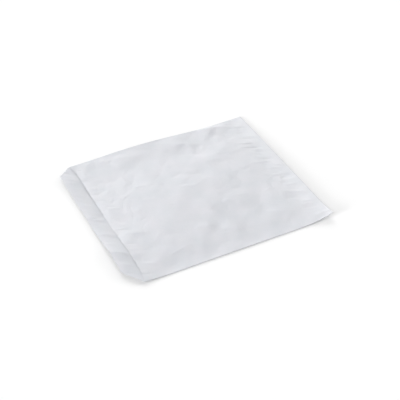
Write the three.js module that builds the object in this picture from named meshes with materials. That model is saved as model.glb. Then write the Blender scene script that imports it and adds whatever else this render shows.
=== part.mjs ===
// Flat white paper bag for hot chips, lying on its back.
// One sheet of paper is folded into a flat tube and glued along a lengthwise seam at the back.
// Its bottom end is turned under and glued, and a toothed knife has cut its mouth,
// so that the back sheet stands out past the front sheet as a lip.
// The two side folds stay sharp, the front sheet is puffed a little, and the edges curl off the table.
// Frame: X across the bag, Y from the mouth to the bottom fold, Z up from the table. Millimetres.
import * as THREE from "three";

// The flat bag
const BAG_WIDTH = 200;
const BAG_LENGTH = 230; // from the lip's teeth to the bottom fold
const PAPER = 0.12; // the sheet
const FOLD_INSIDE = 0.24; // radius inside a side fold
const LIP_LENGTH = 15; // the lip past the corners where the cut crosses the side folds
const LIP_CHAMFER = 13; // width of the slanted cut at each end of the lip
const FRONT_RECESS = 4.5; // the front sheet's edge behind those corners
const FRONT_CHAMFER = 15;
const TOOTH_PITCH = 2.5;
const TOOTH_DEPTH = 0.8;
const TOOTH_ROOT = 0.8; // plain paper between the tooth valleys and the first row of facets
const SEAM_WIDTH = 12; // overlap of the glued seam
const SEAM_STEP = 0.3; // ramp at the edge of the layer inside
const SEAM_GROOVE = { width: 1.5, depth: 0.08 }; // beside the edge of the layer outside
const FLAP_LENGTH = 15; // turned under at the bottom
const FLAP_STEP = 0.4; // ramp at the flap's free edge
const POCKET_WEB = 1.5; // glued paper from the pocket's end to the rounding of the bottom fold

// How it lies. A place along a side is a share of the half width or length, -1 to 1.
const PUFF = { height: 5.9, along: -0.22 }; // most that the front sheet stands off the back one
const MOUTH_GAP = 5.3; // the same at the mouth
const END_CURL = { reach: 48, middle: 3.4, slant: 1.8, droop: 0.6 }; // bottom end off the table, most at +X
const CORNER_CURL = { reach: 30, height: 3.5 }; // the +X bottom corner
const FAR_ARCH = { along: -0.19, span: 95, height: 3.9, reach: 42 }; // -X side fold off the table
const NEAR_ARCH = { along: 0.04, span: 70, height: 1, reach: 30 }; // +X side fold
const LIP_CURL_REACH = 58;
const LIP_CURLS = [
  { across: -1, span: 60, height: 2.9 },
  { across: 0.55, span: 40, height: 4.2 },
  { across: 1.04, span: 42, height: 4.6 },
];
const EDGE_ROLL = { reach: 6, height: 0.8 }; // the front sheet's edge rolls down to the lip
const WAVES = [
  { height: 0.42, x: 31, y: 27, phase: 1.3 },
  { height: 0.3, x: -19, y: 23, phase: 2.1 },
  { height: 0.2, x: 12, y: -35, phase: 0.4 },
]; // broad waves of the front sheet, each with the lengths over which its phase grows by one radian
// Ripples that run into the bottom fold, with how far they step across for each length along the bag
const GATHERS = { pitch: 15.5, height: 0.34, reach: 34, peak: 9, slant: 0.45 };

// Facets
const CELL = 2 * TOOTH_PITCH; // across
const ROW = 15; // along the body
const MOUTH_ROWS = [4, 9, 15, 22]; // rows near the mouth, from the lip's edge
const CUT_BLEND = 80; // over which the rows even out from the stepped cut
const FOLD_STEPS = 4; // around a side fold

const HALF_WIDTH = BAG_WIDTH / 2;
const HALF_LENGTH = BAG_LENGTH / 2;
const LIP_Y = -HALF_LENGTH;
const FRONT_Y = LIP_Y + LIP_LENGTH + FRONT_RECESS;
const FOLD_RADIUS = FOLD_INSIDE + PAPER / 2; // of the sheet's middle
const FOLD_X = HALF_WIDTH - FOLD_INSIDE - PAPER; // where the flat sheets end and the fold begins
const FLAP = 2 * PAPER; // the flap's two layers
const FLAP_Y = HALF_LENGTH - FLAP_LENGTH;
const NOSE = FOLD_INSIDE + PAPER + FLAP / 2; // rounding of the bottom fold
const POCKET_Y = HALF_LENGTH - NOSE - POCKET_WEB;

// 1 at an edge, falling to 0 at the given reach from it, as a curled sheet does.
function curl(distance, reach) {
  return Math.max(0, 1 - Math.max(0, distance) / reach) ** 2;
}

// 1 at the middle of a span, 0 outside it.
function hump(distance, span) {
  return Math.max(0, 1 - (distance / span) ** 2) ** 2;
}

// Height above the table of a side fold that arches off it.
function archHeight(arch, fromSide, y) {
  return arch.height * hump(y - arch.along * HALF_LENGTH, arch.span) * curl(fromSide, arch.reach);
}

// Height of the back sheet's underside above the table.
function restHeight(x, y) {
  const across = x / HALF_WIDTH;
  const end = END_CURL.middle + END_CURL.slant * across - END_CURL.droop * across ** 2;
  const corner = HALF_LENGTH - y + HALF_WIDTH - x;
  const lip = LIP_CURLS.reduce((sum, c) => sum + c.height * hump(x - c.across * HALF_WIDTH, c.span), 0);
  return (
    end * curl(HALF_LENGTH - y, END_CURL.reach) +
    CORNER_CURL.height * curl(corner, CORNER_CURL.reach) +
    archHeight(FAR_ARCH, HALF_WIDTH + x, y) +
    archHeight(NEAR_ARCH, HALF_WIDTH - x, y) +
    lip * curl(y - LIP_Y, LIP_CURL_REACH)
  );
}

// How far the front sheet stands off the back one, past the bend of the side folds.
function puffHeight(x, y) {
  const crown = PUFF.along * HALF_LENGTH;
  const across = 1 - Math.min(1, Math.abs(x) / FOLD_X) ** 2;
  const towardsBottom = Math.min(1, Math.max(0, (y - crown) / (POCKET_Y - crown)));
  const towardsMouth = Math.min(1, Math.max(0, (crown - y) / (crown - FRONT_Y)));
  const along = PUFF.height * (1 - towardsBottom ** 2) - (PUFF.height - MOUTH_GAP) * towardsMouth ** 2;
  const waves = WAVES.reduce((sum, w) => sum + w.height * Math.sin(x / w.x + y / w.y + w.phase), 0);
  const roll = EDGE_ROLL.height * curl(y - FRONT_Y, EDGE_ROLL.reach);
  const gathers =
    GATHERS.height *
    hump(HALF_LENGTH - y - GATHERS.peak, GATHERS.reach - GATHERS.peak) *
    (0.5 + 0.5 * Math.sin((2 * Math.PI * (x - GATHERS.slant * y)) / GATHERS.pitch));
  return across * (along + (1 - towardsBottom ** 4) * (waves - roll)) + Math.sqrt(across) * gathers;
}

// The cut's distance behind the lip's edge, for a place on the sheet: on the back the lip and its
// slanted ends, on the front the recessed edge.
function cutOffset(side, x) {
  const fromFold = HALF_WIDTH - Math.abs(x);
  if (side > 0) return LIP_LENGTH + FRONT_RECESS * Math.min(1, fromFold / FRONT_CHAMFER);
  if (side < 0) return LIP_LENGTH * Math.max(0, 1 - fromFold / LIP_CHAMFER);
  return LIP_LENGTH;
}

// The glued seam's section: how far each face of the back sheet is lifted by the overlap.
function seamPlaces() {
  const edge = SEAM_WIDTH / 2;
  return [
    { x: -edge - SEAM_STEP, inside: 0, outside: 0 },
    { x: -edge, inside: PAPER, outside: 0 },
    { x: edge, inside: PAPER, outside: 0 },
    { x: edge + SEAM_STEP, inside: PAPER, outside: Math.min(SEAM_GROOVE.depth, PAPER) },
    { x: edge + SEAM_STEP + SEAM_GROOVE.width, inside: 0, outside: 0 },
  ];
}

// Places across the sheet: an even row, and close ones in the seam.
function sheetPlaces() {
  const cells = Math.round((2 * FOLD_X) / CELL);
  const even = Array.from({ length: cells + 1 }, (_, i) => ({
    x: -FOLD_X + (2 * FOLD_X * i) / cells,
    inside: 0,
    outside: 0,
  }));
  const seam = seamPlaces();
  const first = seam[0].x - CELL / 4;
  const last = seam[seam.length - 1].x + CELL / 4;
  return [
    ...even.filter((place) => place.x < first),
    ...seam,
    ...even.filter((place) => place.x > last),
  ];
}

// Columns around the tube, from the middle of the -X fold over the front sheet and back under it.
// side is 1 on the front, -1 on the back and 0 on a fold; out and up are the way that the sheet faces.
function tubeColumns() {
  const places = sheetPlaces();
  const flat = { inside: 0, outside: 0 };
  const fold = (end) =>
    Array.from({ length: FOLD_STEPS - 1 }, (_, i) => {
      const turn = (Math.PI * (i + 1)) / FOLD_STEPS;
      return { ...flat, side: 0, x: end * FOLD_X, out: end * Math.sin(turn), up: Math.cos(turn) };
    });
  const farFold = fold(-1).reverse();
  const middle = (FOLD_STEPS - 2) / 2;
  return [
    ...farFold.slice(middle),
    ...places.map((place) => ({ ...flat, side: 1, x: place.x, out: 0, up: 1 })),
    ...fold(1),
    ...places.reverse().map((place) => ({ ...place, side: -1, out: 0, up: -1 })),
    ...farFold.slice(0, middle),
  ];
}

// A point of the paper's outer (face 1) or inner (face -1) surface. squash below 1 closes the section
// towards its middle, for the rounding of the bottom fold.
function paperPoint(column, y, face, squash = 1) {
  const half = FOLD_RADIUS + puffHeight(column.x, y) / 2;
  const middle = restHeight(column.x, y) + PAPER / 2 + half;
  const thick = (face * PAPER) / 2;
  const turnedUnder = y >= FLAP_Y;
  const flap = face > 0 && column.up < 0 && turnedUnder ? FLAP : 0;
  const lift = face > 0 ? column.outside : column.inside;
  const z = middle + column.up * (half + thick + flap) + lift;
  const closed = middle - (turnedUnder ? FLAP / 2 : 0);
  return new THREE.Vector3(
    column.x + column.out * (FOLD_RADIUS + thick),
    y,
    closed + (z - closed) * squash,
  );
}

// y of a row of facets at a column: rows start on the stepped cut and even out along the body.
function rowY(column, row) {
  return row + cutOffset(column.side, column.x) * Math.max(0, 1 - (row - LIP_Y) / CUT_BLEND);
}

// Rows along the bag from the tooth roots to the pocket's end.
function bodyRows() {
  const mouth = [TOOTH_DEPTH + TOOTH_ROOT, ...MOUTH_ROWS].map((distance) => LIP_Y + distance);
  const first = mouth[mouth.length - 1];
  const last = FLAP_Y - ROW / 2;
  const steps = Math.round((last - first) / ROW);
  const body = Array.from({ length: steps }, (_, i) => first + ((last - first) * (i + 1)) / steps);
  return [...mouth, ...body, FLAP_Y - FLAP_STEP, FLAP_Y, (FLAP_Y + POCKET_Y) / 2, POCKET_Y];
}

// Collects vertices, and triangles between them.
class Surface {
  constructor() {
    this.points = [];
    this.faces = [];
  }

  point(p) {
    this.points.push(p.x, p.y, p.z);
    return this.points.length / 3 - 1;
  }

  // Leaves out a triangle that has no area.
  triangle(a, b, c) {
    if (a !== b && b !== c && c !== a) this.faces.push(a, b, c);
  }

  // Fills between two chains of vertices that run the same way; turned gives the other winding.
  band(low, high, turned) {
    let i = 0;
    let j = 0;
    while (i < low.length - 1 || j < high.length - 1) {
      const lowShare = (i + 1) / (low.length - 1);
      const highShare = (j + 1) / (high.length - 1);
      const stepLow = j === high.length - 1 || (i < low.length - 1 && lowShare <= highShare);
      const next = stepLow ? low[i + 1] : high[j + 1];
      if (turned) this.triangle(low[i], high[j], next);
      else this.triangle(low[i], next, high[j]);
      if (stepLow) i += 1;
      else j += 1;
    }
  }
}

// The toothed edge from one column to the next, after the valley at the first.
function rimPoints(column, next, face) {
  const onSheet = column.side !== 0 && column.side === next.side;
  const teeth = onSheet ? Math.round(Math.abs(next.x - column.x) / TOOTH_PITCH) : 0;
  if (teeth === 0) return [paperPoint(next, rowY(next, LIP_Y + TOOTH_DEPTH), face)];
  return Array.from({ length: 2 * teeth }, (_, i) => {
    const last = i === 2 * teeth - 1;
    const between = { ...column, x: THREE.MathUtils.lerp(column.x, next.x, (i + 1) / (2 * teeth)) };
    const place = last ? next : between;
    const depth = i % 2 === 0 ? 0 : TOOTH_DEPTH;
    return paperPoint(place, rowY(place, LIP_Y + depth), face);
  });
}

// One face of the tube, closed at the bottom. Returns the mouth's edge, a chain of vertices per cell.
function addFace(surface, columns, rows, face) {
  const turned = face < 0;
  const count = columns.length;
  const after = (i) => (i + 1) % count;
  const loops = rows.map(({ y, squash }) =>
    columns.map((column) => surface.point(paperPoint(column, rowY(column, y), face, squash))),
  );
  loops.slice(1).forEach((loop, j) => {
    columns.forEach((_, i) => {
      surface.band([loops[j][i], loops[j][after(i)]], [loop[i], loop[after(i)]], turned);
    });
  });
  const valley = surface.point(paperPoint(columns[0], rowY(columns[0], LIP_Y + TOOTH_DEPTH), face));
  let from = valley;
  const rim = columns.map((column, i) => {
    const ahead = rimPoints(column, columns[after(i)], face);
    const closes = (n) => i === count - 1 && n === ahead.length - 1;
    const chain = [from, ...ahead.map((p, n) => (closes(n) ? valley : surface.point(p)))];
    surface.band(chain, [loops[0][i], loops[0][after(i)]], turned);
    from = chain[chain.length - 1];
    return chain;
  });
  const end = loops[loops.length - 1];
  for (let i = 0; i < count / 2; i += 1) {
    surface.band([end[i], end[i + 1]], [end[(count - i) % count], end[count - i - 1]], turned);
  }
  return rim;
}

// The bag as one closed surface: outside, inside, and the paper's edge around the mouth.
function bagGeometry() {
  const columns = tubeColumns();
  const inside = bodyRows().map((y) => ({ y, squash: 1 }));
  const lastTurn = Math.PI / 2.3;
  const nose = [Math.PI / 9, Math.PI / 4, lastTurn].map((turn) => ({
    y: HALF_LENGTH - NOSE * (1 - Math.sin(turn) / Math.sin(lastTurn)),
    squash: Math.cos(turn),
  }));
  const surface = new Surface();
  const outerRim = addFace(surface, columns, [...inside, ...nose], 1);
  const innerRim = addFace(surface, columns, inside, -1);
  outerRim.forEach((chain, i) => surface.band(innerRim[i], chain, false));
  const geometry = new THREE.BufferGeometry();
  geometry.setAttribute("position", new THREE.Float32BufferAttribute(surface.points, 3));
  geometry.setIndex(surface.faces);
  geometry.computeVertexNormals();
  return geometry;
}

function bag() {
  const paper = new THREE.MeshStandardMaterial({ color: 0xdfe2e6, roughness: 0.6, metalness: 0 });
  const mesh = new THREE.Mesh(bagGeometry(), paper);
  mesh.name = "paper_bag";
  return mesh;
}

const part = new THREE.Group();
part.add(bag());

export default part;
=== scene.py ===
"""Looks of a flat white paper chip bag that lies on its back.

The bag is one sheet of thin bleached paper, folded into a flat tube. Both of its faces, the cut edge
around the mouth and the turned-under bottom are one closed mesh, with its creases as real shape.
Lengths are in millimetres and angles in degrees until they go into Blender.
X runs across the bag, Y from the mouth to the bottom fold, Z up from the table.
"""

import math

import bpy
import numpy as np
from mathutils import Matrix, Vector


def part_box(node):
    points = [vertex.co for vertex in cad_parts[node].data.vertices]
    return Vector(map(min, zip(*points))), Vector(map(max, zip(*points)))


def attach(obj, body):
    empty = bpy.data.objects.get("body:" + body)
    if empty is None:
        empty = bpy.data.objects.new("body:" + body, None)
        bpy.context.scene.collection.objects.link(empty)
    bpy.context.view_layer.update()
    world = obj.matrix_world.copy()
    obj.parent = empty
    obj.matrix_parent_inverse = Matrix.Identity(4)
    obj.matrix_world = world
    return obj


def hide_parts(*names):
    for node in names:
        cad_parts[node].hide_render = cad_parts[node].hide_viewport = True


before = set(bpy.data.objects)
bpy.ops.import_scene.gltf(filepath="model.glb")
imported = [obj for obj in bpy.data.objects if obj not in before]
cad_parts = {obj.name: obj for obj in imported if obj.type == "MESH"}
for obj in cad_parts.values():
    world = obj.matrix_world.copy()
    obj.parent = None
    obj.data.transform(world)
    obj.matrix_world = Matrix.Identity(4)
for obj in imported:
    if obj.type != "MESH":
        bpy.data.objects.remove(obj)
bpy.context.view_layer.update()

MM = 0.001
low, high = (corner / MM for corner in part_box("paper_bag"))

# The flat bag
HALF_WIDTH = (high.x - low.x) / 2
HALF_LENGTH = (high.y - low.y) / 2
PAPER = 0.12  # thickness of the sheet
AIR = 0.18  # least gap between the two sheets
FOLD_INSIDE = 0.24  # radius inside a side fold
LIP_LENGTH = 15.0  # the lip past the corners where the cut crosses the side folds
LIP_CHAMFERS = (13.0, 19.0)  # at the -X and the +X side
FRONT_RECESS = 3.2  # the front sheet's edge behind those corners
FRONT_CHAMFER = 15.0  # how far from a side fold that edge takes to recede
TOOTH_PITCH = 2.5
TOOTH_DEPTH = dict(least=0.5, most=2.2, seed=4)
SEAM_WIDTH = 12.0
SEAM_STEP = 0.3  # the slope beside the overlap
SEAM_GROOVE = dict(width=1.5, depth=0.08)
FLAP_LENGTH = 15.0
FLAP_STEP = 0.4  # the slope at the flap's end
POCKET_WEB = 1.5  # how far the inside ends before the bottom fold

# How it lies. A place along a side is a share of the half width or length, -1 to 1.
PUFF = dict(height=5.9, along=-0.22)
PUFF_POWERS = dict(sideways=1.4, to_mouth=2.5, to_bottom=2)  # how the puff falls off
MOUTH_GAP = 0.9
END_CURL = dict(reach=48.0, middle=3.4, slant=1.8, droop=0.8)
CORNER_CURL = dict(reach=30.0, height=2.6)
FAR_ARCH = dict(along=-0.19, span=95.0, height=3.9, reach=42.0)
NEAR_ARCH = dict(along=0.04, span=125.0, height=0.8, reach=13.0)
LIP_CURL_REACH = 58.0
LIP_CURLS = (
    dict(across=-1.0, span=60.0, height=2.9),
    dict(across=0.55, span=40.0, height=4.2),
    dict(across=1.04, span=42.0, height=4.1),
    dict(across=-0.15, span=80.0, height=1.1),
)
EDGE_ROLL = dict(reach=6.0, height=0.8)
LIP_BOW = dict(from_edge=3.0, span=18.0, height=1.1)
# Each wave turns by one radian over its x, and over its y
WAVES = (
    dict(height=0.42, x=31.0, y=27.0, phase=1.3),
    dict(height=0.3, x=-19.0, y=23.0, phase=2.1),
    dict(height=0.2, x=12.0, y=-35.0, phase=0.4),
)
WAVES_POWER = 4  # how the waves fade towards the bottom

# Creases of the paper. Each has its middle, the angle of its crest from +Y towards +X, its length,
# the width in which it fades, how many times wider it fades on the other side, and its height.
DENTS = (
    dict(x=-95, y=74, angle=20, length=60, width=5.5, skew=1, height=1.9),
    dict(x=-78, y=80, angle=34, length=46, width=6, skew=1.6, height=-1.5),
    dict(x=-83, y=24, angle=26, length=70, width=7, skew=0.8, height=1.6),
    dict(x=-80, y=27, angle=2, length=34, width=5, skew=2, height=1.5),
    dict(x=-61, y=28, angle=27, length=64, width=8, skew=1.2, height=-1.7),
    dict(x=57, y=-10, angle=12, length=36, width=6, skew=1.5, height=1.2),
    dict(x=70, y=12, angle=30, length=34, width=5.5, skew=2, height=1.3),
    dict(x=33, y=-80, angle=30, length=32, width=5, skew=1.2, height=1.2),
    dict(x=-44, y=92, angle=24, length=26, width=3, skew=2, height=0.8),
    dict(x=-36, y=91, angle=24, length=26, width=3, skew=1.5, height=-0.6),
    dict(x=70, y=73, angle=33, length=44, width=4.5, skew=1.5, height=1.1),
    dict(x=77, y=53, angle=40, length=28, width=4.5, skew=2, height=0.9),
    dict(x=36, y=37, angle=35, length=36, width=5.5, skew=2, height=0.8),
    dict(x=-74, y=-88, angle=15, length=28, width=4, skew=2, height=0.7),
    dict(x=-86, y=-40, angle=8, length=115, width=12, skew=0.5, height=1.3),
)

# Facets between handled creases: each set has its direction, pitch, height, and how its lines bend
CRUMPLE = (
    dict(angle=18, pitch=44, height=0.17, bend=0.3, bend_pitch=120, phase=0.2),
    dict(angle=74, pitch=37, height=0.22, bend=0.35, bend_pitch=90, phase=0.55),
    dict(angle=-41, pitch=52, height=0.18, bend=0.4, bend_pitch=105, phase=0.8),
    dict(angle=-72, pitch=25, height=0.14, bend=0.5, bend_pitch=60, phase=0.4),
)
CRUMPLE_SHARPNESS = 0.94
# A line's strength swings about a mean. A radian of that wave is this share of the pitch.
CRUMPLE_SWING = dict(mean=0.6, size=0.4, radian=0.3, phase=9)

# Swells and small creases at random, in ranges from least to most
SWELLS = dict(count=60, seed=3, length=(24, 60), width=(5, 11), skew=(0.5, 2), height=0.28)
CREASES = dict(count=420, seed=11, length=(8, 30), width=(0.9, 2.4), skew=(0.7, 3), height=0.42)

# Rows of creases that run in from an end of the bag, one to each pitch
ROW_INSET = (0.2, 0.5)  # how far in their middles lie, in shares of their length
ROW_SPREAD = 10  # how far an angle differs from the row's, to either side
GATHERS = dict(
    pitch=4.6, seed=5, length=(16, 38), width=(1.0, 2.0), skew=(0.7, 2.2), height=(0.35, 0.95), angle=25
)
GATHERS_END = 4.0  # the gathers' middles lie inwards from here
MOUTH_CREASES = dict(
    pitch=7.0, seed=8, length=(12, 34), width=(0.9, 2.0), skew=(0.7, 2), height=(0.2, 0.6), angle=28
)
LIP_ROW = dict(
    pitch=5.5, seed=2, length=(12, 30), width=(0.8, 1.8), skew=(0.7, 2.2), height=(0.15, 0.5), angle=30
)
LIP_CREASES = (
    dict(x=-76, y=-102, angle=27, length=34, width=1.4, skew=3, height=0.9),
    dict(x=-88, y=-104, angle=40, length=30, width=1.8, skew=2, height=-0.6),
    dict(x=-62, y=-108, angle=35, length=22, width=1.4, skew=2, height=0.35),
    dict(x=-36, y=-106, angle=42, length=26, width=1.4, skew=2, height=-0.35),
    dict(x=-12, y=-109, angle=40, length=22, width=1.3, skew=2, height=0.35),
    dict(x=0, y=-103, angle=34, length=30, width=1.6, skew=2, height=-0.6),
    dict(x=14, y=-108, angle=38, length=24, width=1.3, skew=2, height=0.4),
    dict(x=22, y=-104, angle=30, length=36, width=1.8, skew=3, height=1.2),
    dict(x=54, y=-105, angle=30, length=40, width=2.6, skew=4, height=1.8),
    dict(x=72, y=-106, angle=14, length=22, width=2.0, skew=2, height=0.7),
)

CREASE_REACH = 4  # how many widths away a crease still counts
CREASE_ROUNDING = 0.3  # how round a crest is, in widths
SHEET_FADE = dict(sides=4.5, bottom=20.0)  # how near to these the front sheet goes smooth
GATHERS_FADE = 5.0  # the same for its end creases, at the bottom
LIP_FADE = 30.0  # how far the lip's creases go on inside the mouth
LIP_DIP = 0.9  # share of the back sheet's height that its creases may take away

# Facets
FRONT_CELLS = 4  # across, for each tooth
BACK_CELLS = 2
SEAM_CLEAR = 0.25  # nearest that an even column stands to one of the seam, in cells
RIM_ROOM = 1.3  # from the lip's edge to the first full row, in depths of the deepest tooth
END_ROW = 1.5  # spacing of the rows near the two ends
END_ROWS_REACH = 36.0  # how far those rows go
BODY_ROW = 2.3  # spacing between the ends, outside
INNER_ROW = 9.0  # and inside
# Between the ends the inside of the front sheet lies lower than the paper is thick, clear of the
# creases. Where that starts and ends, and over what length, are shares of END_ROWS_REACH.
INNER_DROP = dict(height=2.6, from_mouth=0.5, from_bottom=0.7, blend=0.25)
CUT_BLEND = 80.0  # how far behind the lip's edge the rows follow the cut
FOLD_STEPS = 6
NOSE_STEPS = 4
NOSE_TURN = 80.0  # how far the bottom fold is rounded before it is closed
SHARP = 55.0  # edges that turn more than this, around the cut, are not smoothed

LIP_Y = -HALF_LENGTH
FRONT_Y = LIP_Y + LIP_LENGTH + FRONT_RECESS
FOLD_RADIUS = FOLD_INSIDE + PAPER / 2
FOLD_X = HALF_WIDTH - FOLD_INSIDE - PAPER
TEETH = round(2 * FOLD_X / TOOTH_PITCH)
FLAP = 2 * PAPER
FLAP_Y = HALF_LENGTH - FLAP_LENGTH
NOSE = FOLD_INSIDE + PAPER + FLAP / 2
POCKET_Y = HALF_LENGTH - NOSE - POCKET_WEB
CLEAR = PAPER + AIR  # least between the middles of the two sheets
TINY = 1e-9  # what counts as no height

# The paper's colours, from 0 to 255
CLOUDS = dict(dark=(222, 224, 228), light=(228, 228, 232))
FIBRES_DARK = (250, 251, 252)
SINGLE_LAYER = 0.97  # share of the colour where no flap lies under the sheet
LAYER_BLEND = (-2.0, 3.0)  # where that changes, from the flap's end
GLAZE = (0.58, 0.68)  # roughness, from least to most

# The photograph's view
VIEW = dict(azimuth=63.06, elevation=40.13, distance=1078.8, target=(12.4, 5.0, 0.0))
LENS = 91.75
SENSOR = 36.0
CLIP = (50.0, 20000.0)  # nearest and farthest that the camera sees

# Light: soft boxes and an even top light, which together show a colour as it is written.
# A share is what a light gives of the light on a level sheet.
SOFT_BOXES = (
    dict(azimuth=262, elevation=25, width=48, share=0.25),
    dict(azimuth=8, elevation=12, width=18, share=0.13),
    dict(azimuth=8, elevation=32, width=36, share=0.12),
    dict(azimuth=185, elevation=20, width=28, share=0.1),
    dict(azimuth=85, elevation=34, width=50, share=0.07),
    dict(azimuth=85, elevation=8, width=16, share=0.015),
)
TOP_SHARE = 1 - sum(box["share"] for box in SOFT_BOXES)
TOP_POWER = 2.0  # how fast the sky falls off from straight above
FLOOR_SIZE = 3000.0
FLOOR_GREY = 0.8
FLOOR_SEEN = 0.9  # how much of the floor's light a full shadow takes away, where it is seen
FLOOR_WHITE = 1.02  # a little over 1, so that the open floor is plain white


def curl(distance, reach):
    """1 at an edge, falling to 0 at the given reach from it, as a curled sheet does."""
    return np.clip(1 - np.maximum(distance, 0) / reach, 0, None) ** 2


def hump(distance, span):
    """1 at the middle of a span, 0 outside it."""
    return np.clip(1 - (distance / span) ** 2, 0, None) ** 2


def arch_height(arch, from_side, y):
    """How far a side of the bag arches up off the table."""
    along = hump(y - arch["along"] * HALF_LENGTH, arch["span"])
    return arch["height"] * along * curl(from_side, arch["reach"])


def rest_height(x, y):
    """Height of the back sheet's underside above the table."""
    across = x / HALF_WIDTH
    end = END_CURL["middle"] + END_CURL["slant"] * across - END_CURL["droop"] * across**2
    corner = CORNER_CURL["height"] * curl(HALF_LENGTH - y + HALF_WIDTH - x, CORNER_CURL["reach"])
    lip = sum(c["height"] * hump(x - c["across"] * HALF_WIDTH, c["span"]) for c in LIP_CURLS)
    return (
        end * curl(HALF_LENGTH - y, END_CURL["reach"])
        + corner
        + arch_height(FAR_ARCH, HALF_WIDTH + x, y)
        + arch_height(NEAR_ARCH, HALF_WIDTH - x, y)
        + lip * curl(y - LIP_Y, LIP_CURL_REACH)
    )


def puff_height(x, y):
    """How far the front sheet stands off the back one, past the bend of the side folds."""
    crown = PUFF["along"] * HALF_LENGTH
    across = (1 - np.minimum(1, np.abs(x) / FOLD_X) ** 2) ** PUFF_POWERS["sideways"]
    down = np.clip((y - crown) / (POCKET_Y - crown), 0, 1)
    up = np.clip((crown - y) / (crown - FRONT_Y), 0, 1)
    to_mouth = (PUFF["height"] - MOUTH_GAP) * up ** PUFF_POWERS["to_mouth"]
    along = PUFF["height"] * (1 - down ** PUFF_POWERS["to_bottom"]) - to_mouth
    waves = sum(w["height"] * np.sin(x / w["x"] + y / w["y"] + w["phase"]) for w in WAVES)
    roll = EDGE_ROLL["height"] * curl(y - FRONT_Y, EDGE_ROLL["reach"])
    return across * (along + (1 - down**WAVES_POWER) * (waves - roll))


def add_crease(lift, x, y, place):
    """Adds a crest, or a valley where its height is negative, that fades sideways and at its ends."""
    reach = place["length"] / 2 + CREASE_REACH * place["width"] * max(1, place["skew"])
    near = (np.abs(x - place["x"]) < reach) & (np.abs(y - place["y"]) < reach)
    angle = math.radians(place["angle"])
    dx, dy = x[near] - place["x"], y[near] - place["y"]
    along = dx * math.sin(angle) + dy * math.cos(angle)
    off = dx * math.cos(angle) - dy * math.sin(angle)
    width = place["width"] * np.where(off > 0, 1, place["skew"])
    rounding = CREASE_ROUNDING * place["width"]
    fade = np.exp(-(np.hypot(off, rounding) - rounding) / width)
    lift[near] += place["height"] * fade * hump(along, place["length"] / 2)


def relief(x, y, places):
    """Height that the given creases add together."""
    lift = np.zeros(np.broadcast(x, y).shape)
    for place in places:
        add_crease(lift, x, y, place)
    return lift


def scattered(kind):
    """Creases or swells all over the sheet, from folding, packing and handling."""
    random = np.random.default_rng(kind["seed"])
    return [
        dict(
            x=random.uniform(-HALF_WIDTH, HALF_WIDTH),
            y=random.uniform(FRONT_Y, HALF_LENGTH),
            angle=random.uniform(0, 180),
            length=random.uniform(*kind["length"]),
            width=random.uniform(*kind["width"]),
            skew=random.uniform(*kind["skew"]),
            height=random.uniform(-1, 1) * kind["height"],
        )
        for _ in range(kind["count"])
    ]


def row_of_creases(kind, y, inwards):
    """Creases side by side that run in from an end of the bag. Inwards is 1 for +Y, -1 for -Y."""
    random = np.random.default_rng(kind["seed"])
    count = round(2 * FOLD_X / kind["pitch"])
    made = []
    for i in range(count):
        length = random.uniform(*kind["length"])
        made.append(
            dict(
                x=-FOLD_X + kind["pitch"] * (i + random.uniform(0, 1)),
                y=y + inwards * length * random.uniform(*ROW_INSET),
                angle=kind["angle"] + random.uniform(-ROW_SPREAD, ROW_SPREAD),
                length=length,
                width=random.uniform(*kind["width"]),
                skew=random.uniform(*kind["skew"]),
                height=random.uniform(*kind["height"]) * random.choice([-1, 1]),
            )
        )
    return made


def crumple(x, y):
    """Tilted facets that meet in soft creases, as in paper that has been handled."""
    lift = 0
    swing = CRUMPLE_SWING
    for fold in CRUMPLE:
        angle = math.radians(fold["angle"])
        across = x * math.cos(angle) + y * math.sin(angle)
        along = y * math.cos(angle) - x * math.sin(angle)
        bend = fold["bend"] * np.sin(2 * math.pi * (along / fold["bend_pitch"] + fold["phase"]))
        turn = 2 * math.pi * (across / fold["pitch"] + bend + fold["phase"])
        wave = np.sin(along / swing["radian"] / fold["pitch"] + swing["phase"] * fold["phase"])
        strength = swing["mean"] + swing["size"] * wave
        lift = lift + fold["height"] * strength * np.arcsin(CRUMPLE_SHARPNESS * np.sin(turn))
    return lift


SHEET_CREASES = [*scattered(SWELLS), *scattered(CREASES), *DENTS]
END_CREASES = [
    *row_of_creases(MOUTH_CREASES, FRONT_Y, 1),
    *row_of_creases(GATHERS, HALF_LENGTH - GATHERS_END, -1),
]
BACK_CREASES = [*LIP_CREASES, *row_of_creases(LIP_ROW, LIP_Y, 1)]


def front_relief(x, y):
    """Added height of the front sheet, none at the side folds and at the bottom fold."""
    sides = np.clip((FOLD_X - np.abs(x)) / SHEET_FADE["sides"], 0, 1)
    from_bottom = HALF_LENGTH - y
    broad = relief(x, y, SHEET_CREASES) + crumple(x, y)
    broad = broad * sides * np.clip(from_bottom / SHEET_FADE["bottom"], 0, 1)
    ends = np.sqrt(sides) * np.clip(from_bottom / GATHERS_FADE, 0, 1) * relief(x, y, END_CREASES)
    return broad + ends


def back_relief(x, y):
    """Added height of the back sheet: the lip's creases, which fade out inside the mouth."""
    fade = np.clip(1 - (y - FRONT_Y) / LIP_FADE, 0, 1)
    bow = LIP_BOW["height"] * hump(y - LIP_Y - LIP_BOW["from_edge"], LIP_BOW["span"])
    return np.maximum(fade * relief(x, y, BACK_CREASES) + bow, -LIP_DIP * rest_height(x, y))


def cut_offset(side, x):
    """The cut's distance behind the lip's edge, for a place on the front, the back or a fold."""
    from_fold = HALF_WIDTH - np.abs(x)
    front = LIP_LENGTH + FRONT_RECESS * np.minimum(1, from_fold / FRONT_CHAMFER)
    chamfer = np.where(x < 0, *LIP_CHAMFERS)
    back = LIP_LENGTH * np.clip(1 - from_fold / chamfer, 0, None)
    return np.where(side > 0, front, np.where(side < 0, back, LIP_LENGTH))


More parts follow.
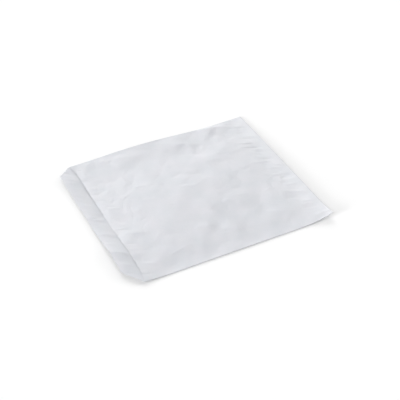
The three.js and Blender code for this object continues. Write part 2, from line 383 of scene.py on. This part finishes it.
def sheet_places(cells):
    """Places across a sheet with the lift of its inner and outer face there: an even row and the seam.

    The even row has the given number of cells for each tooth.
    """
    edge = SEAM_WIDTH / 2
    step = TOOTH_PITCH / cells
    seam = [
        (-edge - SEAM_STEP, 0, 0),
        (-edge, PAPER, 0),
        (edge, PAPER, 0),
        (edge + SEAM_STEP, PAPER, SEAM_GROOVE["depth"]),
        (edge + SEAM_STEP + SEAM_GROOVE["width"], 0, 0),
    ]
    marks = np.array([place[0] for place in seam])
    even = np.linspace(-FOLD_X, FOLD_X, cells * TEETH + 1)
    clear = [x for x in even if np.abs(marks - x).min() > SEAM_CLEAR * step]
    lifted = [(x, PAPER if abs(x) < edge else 0, 0) for x in clear]
    return sorted(seam + lifted)


def tube_columns():
    """Columns around the tube, from the middle of the -X fold over the front and back under it.

    Rows of the result: x, side (1 front, -1 back, 0 fold), out and up (the way the sheet faces),
    and the lifts of the inner and the outer face.
    """
    turns = [math.pi * (i + 1) / FOLD_STEPS for i in range(FOLD_STEPS - 1)]
    near = [(FOLD_X, 0, math.sin(t), math.cos(t), 0, 0) for t in turns]
    far = [(-FOLD_X, 0, -math.sin(t), math.cos(t), 0, 0) for t in reversed(turns)]
    middle = len(far) // 2
    front = [(x, 1, 0, 1, 0, 0) for x, _, _ in sheet_places(FRONT_CELLS)]
    back = [(x, -1, 0, -1, *lifts) for x, *lifts in reversed(sheet_places(BACK_CELLS))]
    return np.array([*far[middle:], *front, *near, *back, *far[:middle]], float).T


def body_rows(spacing):
    """Rows along the bag from behind the teeth to the pocket's end, closer at both ends."""
    start = LIP_Y + RIM_ROOM * TOOTH_DEPTH["most"]
    mouth = np.arange(start, start + END_ROWS_REACH, END_ROW)
    bottom = np.arange(FLAP_Y - FLAP_STEP, FLAP_Y - END_ROWS_REACH, -END_ROW)[::-1]
    steps = round((bottom[0] - mouth[-1]) / spacing)
    body = np.linspace(mouth[-1], bottom[0], steps + 1)[1:-1]
    flap = np.linspace(FLAP_Y, POCKET_Y, round((POCKET_Y - FLAP_Y) / END_ROW) + 1)
    return np.concatenate([mouth, body, bottom, flap])


def nose_rows():
    """y and closing share of the rows that round the bottom fold."""
    last = math.radians(NOSE_TURN)
    turns = [last * (i + 1) / NOSE_STEPS for i in range(NOSE_STEPS)]
    return [(HALF_LENGTH - NOSE * (1 - math.sin(t) / math.sin(last)), math.cos(t)) for t in turns]


def inner_drop(y):
    """How far the inside drops: none at the two ends, where the rows of both faces are the same."""
    blend = INNER_DROP["blend"] * END_ROWS_REACH
    from_mouth = (y - LIP_Y - LIP_LENGTH - INNER_DROP["from_mouth"] * END_ROWS_REACH) / blend
    from_bottom = (FLAP_Y - INNER_DROP["from_bottom"] * END_ROWS_REACH - y) / blend
    return INNER_DROP["height"] * np.clip(np.minimum(from_mouth, from_bottom), 0, 1)


def paper_points(columns, rows, face, squash=1.0):
    """Points of the outer (face 1) or inner (face -1) surface, for a grid of places along the bag."""
    x, side, out, up, inside, outside = columns
    y = rows + cut_offset(side, x) * np.clip(1 - (rows - LIP_Y) / CUT_BLEND, 0, None)
    x = np.broadcast_to(x, y.shape)
    turned_under = y >= FLAP_Y
    rest = rest_height(x, y)
    back = rest + back_relief(x, y)
    front = rest + 2 * FOLD_RADIUS + puff_height(x, y) + front_relief(x, y)
    if face < 0:
        front = front - inner_drop(y)
    front = np.maximum(front, back + CLEAR)
    middle = PAPER / 2 + (front + back) / 2
    thick = face * PAPER / 2
    flap = np.where((up < 0) & turned_under, FLAP, 0) if face > 0 else 0
    z = middle + up * ((front - back) / 2 + thick + flap) + (outside if face > 0 else inside)
    closed = middle - np.where(turned_under, FLAP / 2, 0)
    z = closed + (z - closed) * squash
    return np.stack([x + out * (FOLD_RADIUS + thick), y, z], axis=-1)


def rim_rows(columns):
    """The toothed edge, as one row: how far along the bag each column starts."""
    x, side = columns[:2]
    phase = (x + FOLD_X) / TOOTH_PITCH
    valley = np.abs(2 * (phase - np.floor(phase)) - 1)
    random = np.random.default_rng(TOOTH_DEPTH["seed"])
    depths = random.uniform(TOOTH_DEPTH["least"], TOOTH_DEPTH["most"], TEETH + 1)
    depth = depths[np.round(np.clip(phase, 0, len(depths) - 1)).astype(int)]
    return (LIP_Y + depth * np.where(side == 0, 1, valley))[None, :]


def around(count):
    """Numbers of the points of a closed loop, and for each the number of the point after it."""
    here = np.arange(count)
    return here, (here + 1) % count


def grid_faces(first, rows, count, turned):
    """Quads between rows of a closed loop of count points, the first point being number first."""
    here, after = around(count)
    faces = []
    for j in range(rows - 1):
        base = first + j * count
        quad = [base + here, base + after, base + count + after, base + count + here]
        faces.append(np.stack(quad[::-1] if turned else quad, axis=1))
    return np.concatenate(faces)


def end_faces(first, columns, turned):
    """Closes a flattened loop: each cell of the back half to the points over it of the front half."""
    x, up = columns[0], columns[3]
    count = columns.shape[1]
    end = int(np.argmax((x > 0) & (np.abs(up) < TINY)))
    over = list(range(end + 1))
    under = [0, *range(count - 1, end, -1), end]
    faces = []
    i = j = 0
    while i < len(over) - 1 or j < len(under) - 1:
        step_over = j == len(under) - 1 or (
            i < len(over) - 1 and (i + 1) / (len(over) - 1) <= (j + 1) / (len(under) - 1)
        )
        a, b = over[i], under[j]
        c = over[i + 1] if step_over else under[j + 1]
        if step_over:
            i += 1
        else:
            j += 1
        ring = list(dict.fromkeys([first + a, first + c, first + b]))
        if len(ring) == 3:
            faces.append(ring[::-1] if turned else ring)
    return faces


def bag_mesh():
    """The whole bag as one closed mesh."""
    columns = tube_columns()
    count = columns.shape[1]
    body = body_rows(BODY_ROW)
    nose = nose_rows()
    rows = np.concatenate([body, [y for y, _ in nose]])[:, None]
    squash = np.concatenate([np.ones(len(body)), [share for _, share in nose]])[:, None]
    inside = body_rows(INNER_ROW)[:, None]
    rim = rim_rows(columns)
    outer = np.concatenate([paper_points(columns, rim, 1), paper_points(columns, rows, 1, squash)])
    inner = np.concatenate([paper_points(columns, rim, -1), paper_points(columns, inside, -1)])
    first_inner = len(outer) * count
    here, after = around(count)
    edge = np.stack([here, first_inner + here, first_inner + after, after], axis=1)
    faces = [
        *grid_faces(0, len(outer), count, turned=False).tolist(),
        *grid_faces(first_inner, len(inner), count, turned=True).tolist(),
        *edge.tolist(),
        *end_faces((len(outer) - 1) * count, columns, turned=False),
        *end_faces(first_inner + (len(inner) - 1) * count, columns, turned=True),
    ]
    points = np.concatenate([outer.reshape(-1, 3), inner.reshape(-1, 3)]) * MM
    mesh = bpy.data.meshes.new("chip_bag")
    mesh.from_pydata(points.tolist(), [], faces)
    mesh.validate()
    mesh.shade_smooth()
    mesh.set_sharp_from_angle(angle=math.radians(SHARP))
    return mesh


def linear(srgb):
    """A colour from its 0 to 255 values, as light."""
    shares = [v / 255 for v in srgb]
    return tuple(s / 12.92 if s <= 0.04045 else ((s + 0.055) / 1.055) ** 2.4 for s in shares) + (1.0,)


def grey(level):
    """A grey, from its level as light."""
    return (level, level, level, 1.0)


def paper_material():
    """Thin bleached paper with cloudy fibres, a faint glaze and a fine tooth.

    It is a little brighter where it is layered. Noise scales are in repeats to the metre.
    """
    material = bpy.data.materials.new("bleached_paper")
    material.use_nodes = True
    nodes, links = material.node_tree.nodes, material.node_tree.links
    shader = nodes["Principled BSDF"]
    shader.inputs["IOR"].default_value = 1.45
    shader.inputs["Specular IOR Level"].default_value = 0.35
    shader.inputs["Subsurface Weight"].default_value = 1.0
    shader.inputs["Subsurface Radius"].default_value = (1.0, 1.0, 1.0)
    shader.inputs["Subsurface Scale"].default_value = 0.15 * MM
    place = nodes.new("ShaderNodeTexCoord").outputs["Object"]

    def noise(scale, detail, roughness=0.55):
        made = nodes.new("ShaderNodeTexNoise")
        made.inputs["Scale"].default_value = scale
        made.inputs["Detail"].default_value = detail
        made.inputs["Roughness"].default_value = roughness
        links.new(place, made.inputs["Vector"])
        return made.outputs["Fac"]

    def ramp(source, stops):
        made = nodes.new("ShaderNodeValToRGB")
        first, last = made.color_ramp.elements
        (first.position, first.color), (last.position, last.color) = stops
        links.new(source, made.inputs["Fac"])
        return made.outputs["Color"]

    def times(a, b):
        made = nodes.new("ShaderNodeMix")
        made.data_type = "RGBA"
        made.blend_type = "MULTIPLY"
        made.inputs["Factor"].default_value = 1.0
        links.new(a, made.inputs["A"])
        links.new(b, made.inputs["B"])
        return made.outputs["Result"]

    def bump(height, strength, distance, under=None):
        made = nodes.new("ShaderNodeBump")
        made.inputs["Strength"].default_value = strength
        made.inputs["Distance"].default_value = distance * MM
        links.new(height, made.inputs["Height"])
        if under:
            links.new(under, made.inputs["Normal"])
        return made.outputs["Normal"]

    cloudy = noise(scale=45, detail=3)
    clouds = ramp(cloudy, ((0.3, linear(CLOUDS["dark"])), (0.7, linear(CLOUDS["light"]))))
    fibrous = noise(scale=900, detail=5, roughness=0.7)
    fibres = ramp(fibrous, ((0.25, linear(FIBRES_DARK)), (0.75, grey(1.0))))
    apart = nodes.new("ShaderNodeSeparateXYZ")
    links.new(place, apart.inputs["Vector"])
    layers = nodes.new("ShaderNodeMapRange")
    layers.inputs["From Min"].default_value = (FLAP_Y + LAYER_BLEND[0]) * MM
    layers.inputs["From Max"].default_value = (FLAP_Y + LAYER_BLEND[1]) * MM
    links.new(apart.outputs["Y"], layers.inputs["Value"])
    denser = ramp(layers.outputs["Result"], ((0.0, grey(SINGLE_LAYER)), (1.0, grey(1.0))))
    links.new(times(times(clouds, fibres), denser), shader.inputs["Base Color"])

    glaze = ramp(noise(scale=160, detail=2), ((0.3, grey(GLAZE[0])), (0.7, grey(GLAZE[1]))))
    links.new(glaze, shader.inputs["Roughness"])

    rippled = noise(scale=240, detail=3, roughness=0.5)
    ripple = bump(rippled, strength=0.3, distance=0.5)
    toothed = noise(scale=1400, detail=4, roughness=0.65)
    tooth = bump(toothed, strength=0.2, distance=0.06, under=ripple)
    links.new(tooth, shader.inputs["Normal"])
    return material


def add_bag():
    """The bag, which stands for the one solid of the part."""
    mesh = bag_mesh()
    mesh.materials.append(paper_material())
    bag = bpy.data.objects.new("chip_bag", mesh)
    bpy.context.collection.objects.link(bag)
    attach(bag, "root")
    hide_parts("paper_bag")


def seen_directly(nodes, links):
    """1 for a ray from the camera, or one mirrored or sent on to it by the object."""
    path = nodes.new("ShaderNodeLightPath")
    total = path.outputs["Is Camera Ray"]
    for name in ("Is Glossy Ray", "Is Transmission Ray"):
        add = nodes.new("ShaderNodeMath")
        add.operation = "MAXIMUM"
        links.new(total, add.inputs[0])
        links.new(path.outputs[name], add.inputs[1])
        total = add.outputs["Value"]
    return total


def floor_material():
    """A pale floor that keeps shadows. Where it is seen it glows, so that it is white."""
    material = bpy.data.materials.new("studio_floor")
    material.use_nodes = True
    nodes, links = material.node_tree.nodes, material.node_tree.links
    shader = nodes["Principled BSDF"]
    shader.inputs["Roughness"].default_value = 1.0
    shader.inputs["Specular IOR Level"].default_value = 0.0
    shader.inputs["Emission Color"].default_value = grey(1.0)
    seen = seen_directly(nodes, links)

    def level(unseen, shown):
        made = nodes.new("ShaderNodeMapRange")
        made.inputs["To Min"].default_value = unseen
        made.inputs["To Max"].default_value = shown
        links.new(seen, made.inputs["Value"])
        return made.outputs["Result"]

    links.new(level(FLOOR_GREY, FLOOR_SEEN), shader.inputs["Base Color"])
    links.new(level(0.0, FLOOR_WHITE - FLOOR_SEEN), shader.inputs["Emission Strength"])
    return material


def add_floor():
    """The white surface that the bag lies on. It is part of the studio, not of the object."""
    half = FLOOR_SIZE / 2 * MM
    corners = [(-half, -half, 0), (half, -half, 0), (half, half, 0), (-half, half, 0)]
    mesh = bpy.data.meshes.new("floor")
    mesh.from_pydata(corners, [], [(0, 1, 2, 3)])
    mesh.materials.append(floor_material())
    floor = bpy.data.objects.new("floor", mesh)
    bpy.context.collection.objects.link(floor)


def add_world():
    """The top light: a sky that falls off towards the horizon, and is plain white where it is seen."""
    world = bpy.data.worlds.new("studio")
    bpy.context.scene.world = world
    world.use_nodes = True
    nodes, links = world.node_tree.nodes, world.node_tree.links
    apart = nodes.new("ShaderNodeSeparateXYZ")
    links.new(nodes.new("ShaderNodeTexCoord").outputs["Generated"], apart.inputs["Vector"])
    light = apart.outputs["Z"]
    # Such a sky gives a level sheet 2 / (TOP_POWER + 2) of what an even sky would.
    straight_up = TOP_SHARE * (TOP_POWER + 2) / 2
    for operation, value in (("MAXIMUM", 0.0), ("POWER", TOP_POWER), ("MULTIPLY", straight_up)):
        step = nodes.new("ShaderNodeMath")
        step.operation = operation
        step.inputs[1].default_value = value
        links.new(light, step.inputs[0])
        light = step.outputs["Value"]
    level = nodes.new("ShaderNodeMapRange")
    links.new(light, level.inputs["To Min"])
    level.inputs["To Max"].default_value = 1.0
    links.new(seen_directly(nodes, links), level.inputs["Value"])
    sky = nodes["Background"]
    sky.inputs["Color"].default_value = grey(1.0)
    links.new(level.outputs["Result"], sky.inputs["Strength"])


def back_from(azimuth, elevation):
    """The way from the bag back to a viewer or lamp. Azimuth 0 stands at -Y, 90 at +X."""
    a, e = math.radians(azimuth), math.radians(elevation)
    return Vector((math.sin(a) * math.cos(e), -math.cos(a) * math.cos(e), math.sin(e)))


def add_soft_boxes():
    """Far lamps, each as wide as it looks from the bag. A low one needs more power for its share."""
    for i, box in enumerate(SOFT_BOXES):
        lamp = bpy.data.lights.new(f"soft_box_{i}", "SUN")
        lamp.energy = math.pi * box["share"] / math.sin(math.radians(box["elevation"]))
        lamp.angle = math.radians(box["width"])
        sun = bpy.data.objects.new(f"soft_box_{i}", lamp)
        sun.rotation_mode = "QUATERNION"
        sun.rotation_quaternion = back_from(box["azimuth"], box["elevation"]).to_track_quat("Z", "Y")
        bpy.context.collection.objects.link(sun)


def add_camera():
    """The camera that sees the bag as the photograph does."""
    back = back_from(VIEW["azimuth"], VIEW["elevation"])
    data = bpy.data.cameras.new("camera")
    data.sensor_width = SENSOR
    data.lens = LENS
    data.clip_start, data.clip_end = (distance * MM for distance in CLIP)
    camera = bpy.data.objects.new("camera", data)
    camera.location = (Vector(VIEW["target"]) + back * VIEW["distance"]) * MM
    camera.rotation_mode = "QUATERNION"
    camera.rotation_quaternion = back.to_track_quat("Z", "Y")
    bpy.context.collection.objects.link(camera)
    bpy.context.scene.camera = camera


add_camera()
add_bag()
add_floor()
add_world()
add_soft_boxes()
bpy.context.scene.view_settings.view_transform = "Standard"
